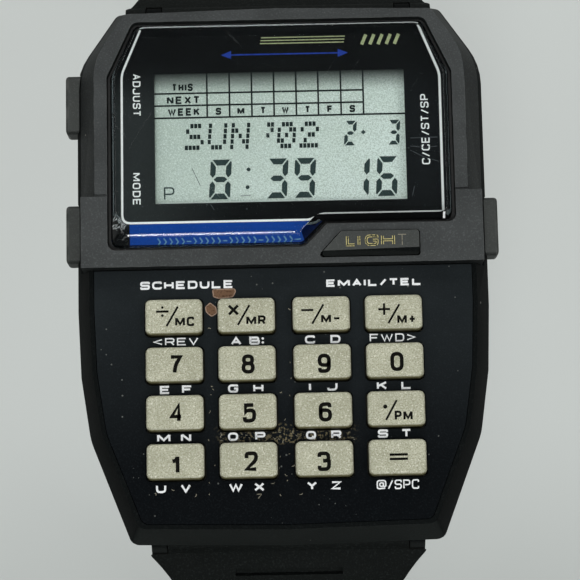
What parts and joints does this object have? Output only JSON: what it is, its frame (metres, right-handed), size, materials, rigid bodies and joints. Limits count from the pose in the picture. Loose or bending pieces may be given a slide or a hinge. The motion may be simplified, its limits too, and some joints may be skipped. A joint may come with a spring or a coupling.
{
  "type": "digital calculator wristwatch",
  "caption": "Rectangular digital calculator wristwatch in black resin: display over a keypad, side push buttons, hinged two-part strap with a buckle.",
  "frame": {"origin": "centre of the case back's outer face", "axes": "+X towards 3 o'clock, +Y towards 12 o'clock, +Z out through the crystal"},
  "size_m": [0.0402, 0.0751, 0.0697],
  "materials": {
    "resin": "fine matte grain",
    "bezel": "matte grey grain",
    "panel": "satin black with white print",
    "crystal": "polished",
    "gasket": "matte",
    "lcd": "matte grey green",
    "backlight": "matte",
    "zebra": "matte",
    "frame": "white moulding",
    "board": "green solder mask",
    "keys": "warm light grey, fine grain",
    "buttons": "matte grey",
    "mat": "matte",
    "steel": "brushed",
    "brass": "plain"
  },
  "bodies": {
    "case": {"case_body": "resin", "top_bezel": "bezel", "keypad_panel": "panel", "crystal": "crystal", "crystal_gasket": "gasket", "display_mask": "panel", "lcd_panel": "lcd", "backlight_panel": "backlight", "zebra_strips": "zebra", "module_frame": "frame", "circuit_board": "board", "chip_cover": "board", "quartz_can": "steel", "battery": "steel", "battery_clip": "steel", "keypad_mat": "mat", "buzzer_disc": "brass", "buzzer_spring": "steel", "case_back": "steel", "back_gasket": "gasket", "back_screw_1": "steel", "back_screw_2": "steel", "back_screw_3": "steel", "back_screw_4": "steel", "button_seals": "gasket", "adjust_spring": "steel", "mode_spring": "steel", "start_spring": "steel", "light_spring": "steel", "upper_spring_bar": "steel", "lower_spring_bar": "steel"},
    "adjust_button": {"adjust_button": "buttons", "adjust_clip": "steel"},
    "mode_button": {"mode_button": "buttons", "mode_clip": "steel"},
    "start_button": {"start_button": "buttons", "start_clip": "steel"},
    "light_button": {"light_button": "buttons"},
    "key_divide": {"key_divide": "keys"},
    "key_multiply": {"key_multiply": "keys"},
    "key_minus": {"key_minus": "keys"},
    "key_plus": {"key_plus": "keys"},
    "key_7": {"key_7": "keys"},
    "key_8": {"key_8": "keys"},
    "key_9": {"key_9": "keys"},
    "key_0": {"key_0": "keys"},
    "key_4": {"key_4": "keys"},
    "key_5": {"key_5": "keys"},
    "key_6": {"key_6": "keys"},
    "key_point": {"key_point": "keys"},
    "key_1": {"key_1": "keys"},
    "key_2": {"key_2": "keys"},
    "key_3": {"key_3": "keys"},
    "key_equals": {"key_equals": "keys"},
    "buckle_strap": {"buckle_strap": "resin", "buckle_bar": "steel"},
    "hole_strap": {"hole_strap": "resin"},
    "buckle_frame": {"buckle_frame": "steel"},
    "buckle_tongue": {"buckle_tongue": "steel"},
    "strap_keeper": {"strap_keeper": "resin"}
  },
  "joints": [
    {"name": "key_divide_press", "type": "slide", "parent": "case", "child": "key_divide", "axis": [0, 0, -1], "range_m": [0, 0.0005], "stiffness_N_per_m": 800, "springref_m": -0.0002, "deforming": ["keypad_mat"]},
    {"name": "key_multiply_press", "type": "slide", "parent": "case", "child": "key_multiply", "axis": [0, 0, -1], "range_m": [0, 0.0005], "stiffness_N_per_m": 800, "springref_m": -0.0002, "deforming": ["keypad_mat"]},
    {"name": "key_minus_press", "type": "slide", "parent": "case", "child": "key_minus", "axis": [0, 0, -1], "range_m": [0, 0.0005], "stiffness_N_per_m": 800, "springref_m": -0.0002, "deforming": ["keypad_mat"]},
    {"name": "key_plus_press", "type": "slide", "parent": "case", "child": "key_plus", "axis": [0, 0, -1], "range_m": [0, 0.0005], "stiffness_N_per_m": 800, "springref_m": -0.0002, "deforming": ["keypad_mat"]},
    {"name": "key_7_press", "type": "slide", "parent": "case", "child": "key_7", "axis": [0, 0, -1], "range_m": [0, 0.0005], "stiffness_N_per_m": 800, "springref_m": -0.0002, "deforming": ["keypad_mat"]},
    {"name": "key_8_press", "type": "slide", "parent": "case", "child": "key_8", "axis": [0, 0, -1], "range_m": [0, 0.0005], "stiffness_N_per_m": 800, "springref_m": -0.0002, "deforming": ["keypad_mat"]},
    {"name": "key_9_press", "type": "slide", "parent": "case", "child": "key_9", "axis": [0, 0, -1], "range_m": [0, 0.0005], "stiffness_N_per_m": 800, "springref_m": -0.0002, "deforming": ["keypad_mat"]},
    {"name": "key_0_press", "type": "slide", "parent": "case", "child": "key_0", "axis": [0, 0, -1], "range_m": [0, 0.0005], "stiffness_N_per_m": 800, "springref_m": -0.0002, "deforming": ["keypad_mat"]},
    {"name": "key_4_press", "type": "slide", "parent": "case", "child": "key_4", "axis": [0, 0, -1], "range_m": [0, 0.0005], "stiffness_N_per_m": 800, "springref_m": -0.0002, "deforming": ["keypad_mat"]},
    {"name": "key_5_press", "type": "slide", "parent": "case", "child": "key_5", "axis": [0, 0, -1], "range_m": [0, 0.0005], "stiffness_N_per_m": 800, "springref_m": -0.0002, "deforming": ["keypad_mat"]},
    {"name": "key_6_press", "type": "slide", "parent": "case", "child": "key_6", "axis": [0, 0, -1], "range_m": [0, 0.0005], "stiffness_N_per_m": 800, "springref_m": -0.0002, "deforming": ["keypad_mat"]},
    {"name": "key_point_press", "type": "slide", "parent": "case", "child": "key_point", "axis": [0, 0, -1], "range_m": [0, 0.0005], "stiffness_N_per_m": 800, "springref_m": -0.0002, "deforming": ["keypad_mat"]},
    {"name": "key_1_press", "type": "slide", "parent": "case", "child": "key_1", "axis": [0, 0, -1], "range_m": [0, 0.0005], "stiffness_N_per_m": 800, "springref_m": -0.0002, "deforming": ["keypad_mat"]},
    {"name": "key_2_press", "type": "slide", "parent": "case", "child": "key_2", "axis": [0, 0, -1], "range_m": [0, 0.0005], "stiffness_N_per_m": 800, "springref_m": -0.0002, "deforming": ["keypad_mat"]},
    {"name": "key_3_press", "type": "slide", "parent": "case", "child": "key_3", "axis": [0, 0, -1], "range_m": [0, 0.0005], "stiffness_N_per_m": 800, "springref_m": -0.0002, "deforming": ["keypad_mat"]},
    {"name": "key_equals_press", "type": "slide", "parent": "case", "child": "key_equals", "axis": [0, 0, -1], "range_m": [0, 0.0005], "stiffness_N_per_m": 800, "springref_m": -0.0002, "deforming": ["keypad_mat"]},
    {"name": "light_press", "type": "slide", "parent": "case", "child": "light_button", "axis": [0, 0, -1], "range_m": [0, 0.0005], "stiffness_N_per_m": 700, "springref_m": -0.0005, "deforming": ["keypad_mat", "light_spring"]},
    {"name": "adjust_press", "type": "slide", "parent": "case", "child": "adjust_button", "axis": [1, 0, 0], "range_m": [0, 0.0007], "stiffness_N_per_m": 700, "springref_m": -0.001, "deforming": ["adjust_spring"]},
    {"name": "mode_press", "type": "slide", "parent": "case", "child": "mode_button", "axis": [1, 0, 0], "range_m": [0, 0.0007], "stiffness_N_per_m": 700, "springref_m": -0.001, "deforming": ["mode_spring"]},
    {"name": "start_press", "type": "slide", "parent": "case", "child": "start_button", "axis": [-1, 0, 0], "range_m": [0, 0.0007], "stiffness_N_per_m": 700, "springref_m": -0.001, "deforming": ["start_spring"]},
    {"name": "upper_strap_hinge", "type": "hinge", "parent": "case", "child": "buckle_strap", "pos_m": [0, 0.0245, 0.003], "axis": [1, 0, 0], "range_deg": [0, 45]},
    {"name": "lower_strap_hinge", "type": "hinge", "parent": "case", "child": "hole_strap", "pos_m": [0, -0.0245, 0.003], "axis": [-1, 0, 0], "range_deg": [0, 45]},
    {"name": "buckle_hinge", "type": "hinge", "parent": "buckle_strap", "child": "buckle_frame", "pos_m": [0, 0.0206, -0.0568], "axis": [-1, 0, 0], "range_deg": [0, 90]},
    {"name": "tongue_hinge", "type": "hinge", "parent": "buckle_frame", "child": "buckle_tongue", "pos_m": [0, 0.0206, -0.0568], "axis": [1, 0, 0], "range_deg": [0, 110]},
    {"name": "keeper_slide", "type": "slide", "parent": "buckle_strap", "child": "strap_keeper", "axis": [0, 0, 1], "range_m": [0, 0.018]}
  ]
}
